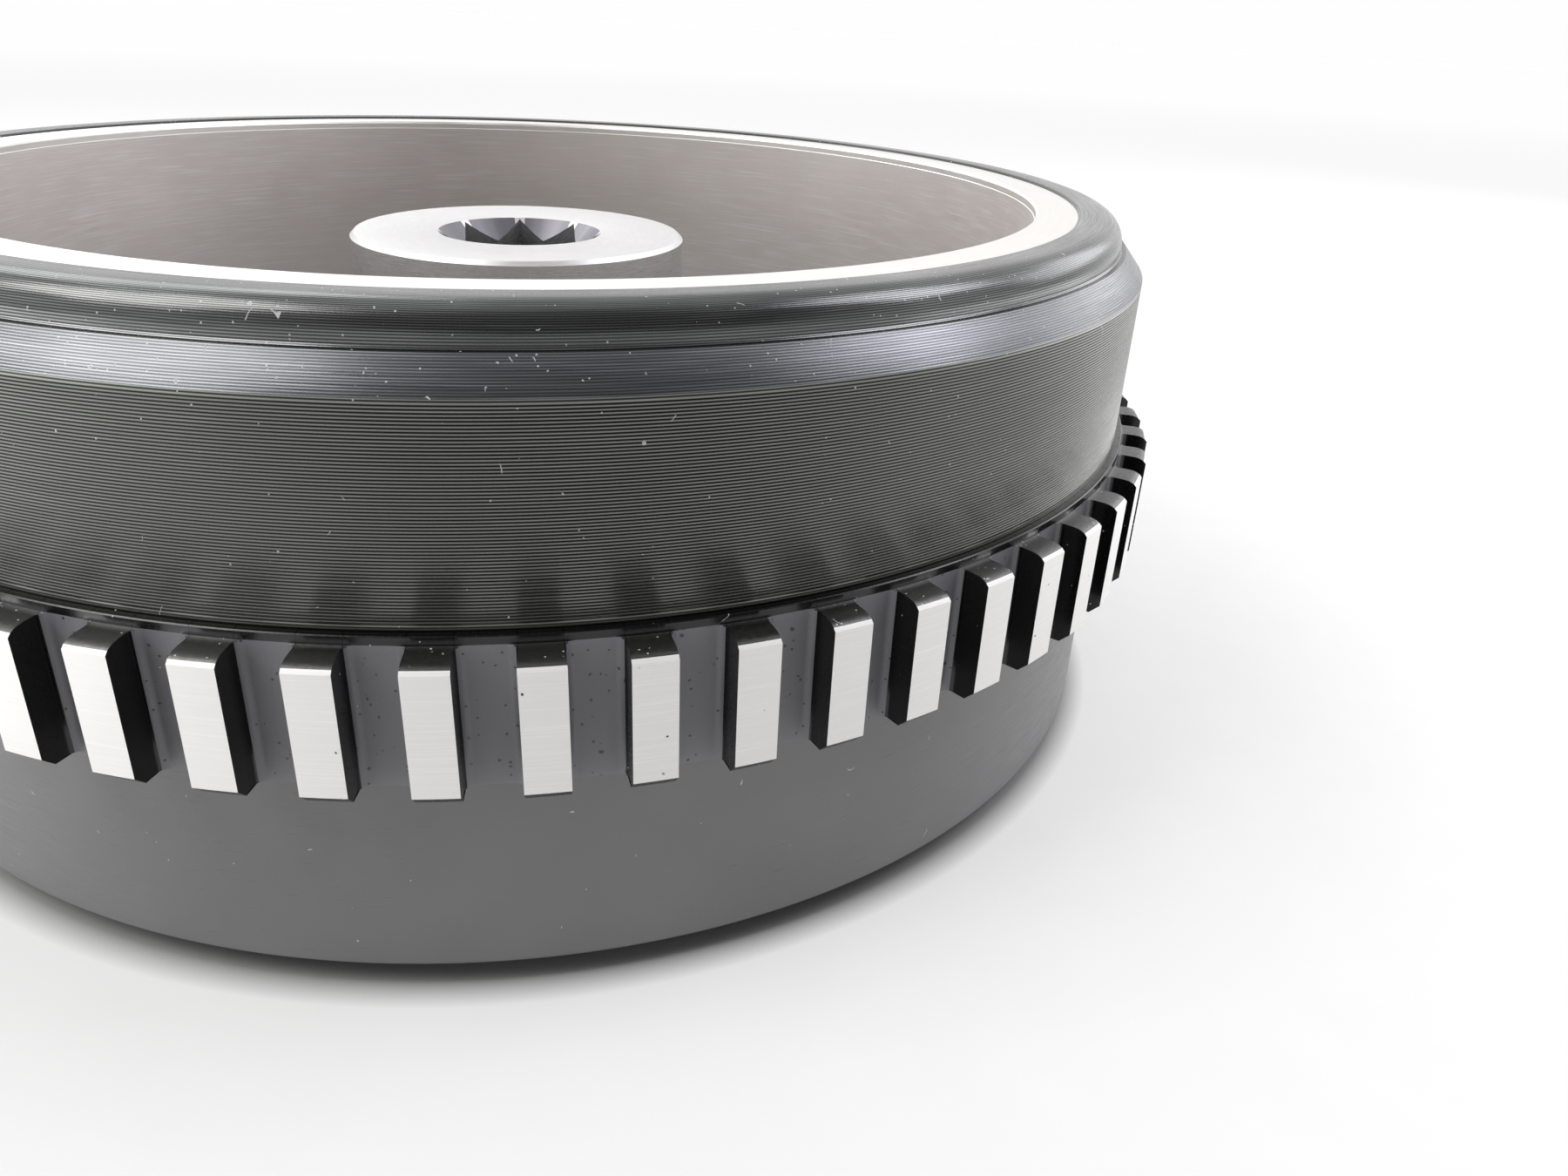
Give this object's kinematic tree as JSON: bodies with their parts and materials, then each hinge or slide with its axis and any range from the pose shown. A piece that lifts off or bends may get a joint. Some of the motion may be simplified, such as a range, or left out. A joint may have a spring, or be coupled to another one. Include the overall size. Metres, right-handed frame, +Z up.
{
  "type": "sailboat winch",
  "caption": "Sheet winch with an open-topped drum, a toothed ring at its foot, a fixed base, geared spindle with a star-shaped handle socket, roller bearings and ratchet pawls.",
  "frame": {"origin": "on the drum's axis, in the plane of the gasket's underside that meets the deck", "axes": "+Z up along the drum's axis; +X through one idler gear's pin, +Y through one pawl's pin; a tooth of the outer ring is centred on -Y"},
  "size_m": [0.2, 0.2, 0.0745],
  "materials": {
    "black_anodised": "black satin anodised, finely turned, with a bare turned lip and bore",
    "machined_ring": "dark anodised with the tips of the teeth turned bright",
    "cast_base": "grey anodised, brushed round",
    "machined_spindle": "turned steel, dark sides and a bright faced top",
    "machined_steel": "ground",
    "stainless": "ground stainless steel",
    "bronze": "machined aluminium bronze",
    "acetal": "natural acetal",
    "rubber_gasket": "matt black rubber"
  },
  "bodies": {
    "base": {"base_housing": "cast_base", "foot_gasket": "rubber_gasket", "center_stem": "machined_steel", "stem_screws": "stainless", "upper_spindle_bush": "bronze", "lower_spindle_bush": "bronze", "foot_bush": "bronze", "spindle_thrust_washer": "bronze", "drum_thrust_washer": "acetal", "bearing_spacer": "acetal", "drum_lock_nut": "bronze", "idler_pins": "stainless", "pawl_pins": "stainless", "pawl_springs": "stainless"},
    "drum": {"drum_body": "black_anodised", "hub_sleeve": "machined_steel", "toothed_ring": "machined_ring", "ring_screws": "stainless", "ring_gear": "bronze", "ring_gear_pins": "stainless", "ratchet_ring": "stainless"},
    "lower_bearing": {"lower_roller_cage": "acetal", "lower_rollers": "stainless"},
    "upper_bearing": {"upper_roller_cage": "acetal", "upper_rollers": "stainless"},
    "spindle": {"main_spindle": "machined_spindle", "drive_pinion": "stainless", "pinion_key": "stainless", "spindle_circlip": "stainless"},
    "idler_a": {"idler_gear_a": "bronze", "idler_bush_a": "acetal"},
    "idler_b": {"idler_gear_b": "bronze", "idler_bush_b": "acetal"},
    "pawl_a": {"pawl_a": "stainless"},
    "pawl_b": {"pawl_b": "stainless"}
  },
  "joints": [
    {"name": "drum_spin", "type": "hinge", "parent": "base", "child": "drum", "pos_m": [0, 0, 0.05], "axis": [0, 0, 1], "continuous": true},
    {"name": "lower_bearing_spin", "type": "hinge", "parent": "base", "child": "lower_bearing", "pos_m": [0, 0, 0.0373], "axis": [0, 0, 1], "continuous": true},
    {"name": "upper_bearing_spin", "type": "hinge", "parent": "base", "child": "upper_bearing", "pos_m": [0, 0, 0.046], "axis": [0, 0, 1], "continuous": true},
    {"name": "spindle_spin", "type": "hinge", "parent": "base", "child": "spindle", "pos_m": [0, 0, 0.04], "axis": [0, 0, 1], "continuous": true},
    {"name": "idler_a_spin", "type": "hinge", "parent": "base", "child": "idler_a", "pos_m": [0.0475, 0, 0.017], "axis": [0, 0, 1], "continuous": true},
    {"name": "idler_b_spin", "type": "hinge", "parent": "base", "child": "idler_b", "pos_m": [-0.0475, 0, 0.017], "axis": [0, 0, 1], "continuous": true},
    {"name": "pawl_a_swing", "type": "hinge", "parent": "base", "child": "pawl_a", "pos_m": [0, 0.057, 0.03], "axis": [0, 0, 1], "range_deg": [0, 11], "stiffness_Nm_per_rad": 0.002},
    {"name": "pawl_b_swing", "type": "hinge", "parent": "base", "child": "pawl_b", "pos_m": [0, -0.057, 0.03], "axis": [0, 0, 1], "range_deg": [0, 11], "stiffness_Nm_per_rad": 0.002}
  ],
  "couplings": [
    {"joint": "lower_bearing_spin", "follows": "drum_spin", "ratio": 0.53846},
    {"joint": "upper_bearing_spin", "follows": "drum_spin", "ratio": 0.53846},
    {"joint": "spindle_spin", "follows": "drum_spin", "ratio": -3.75},
    {"joint": "idler_a_spin", "follows": "drum_spin", "ratio": 2.7273},
    {"joint": "idler_b_spin", "follows": "drum_spin", "ratio": 2.7273}
  ]
}
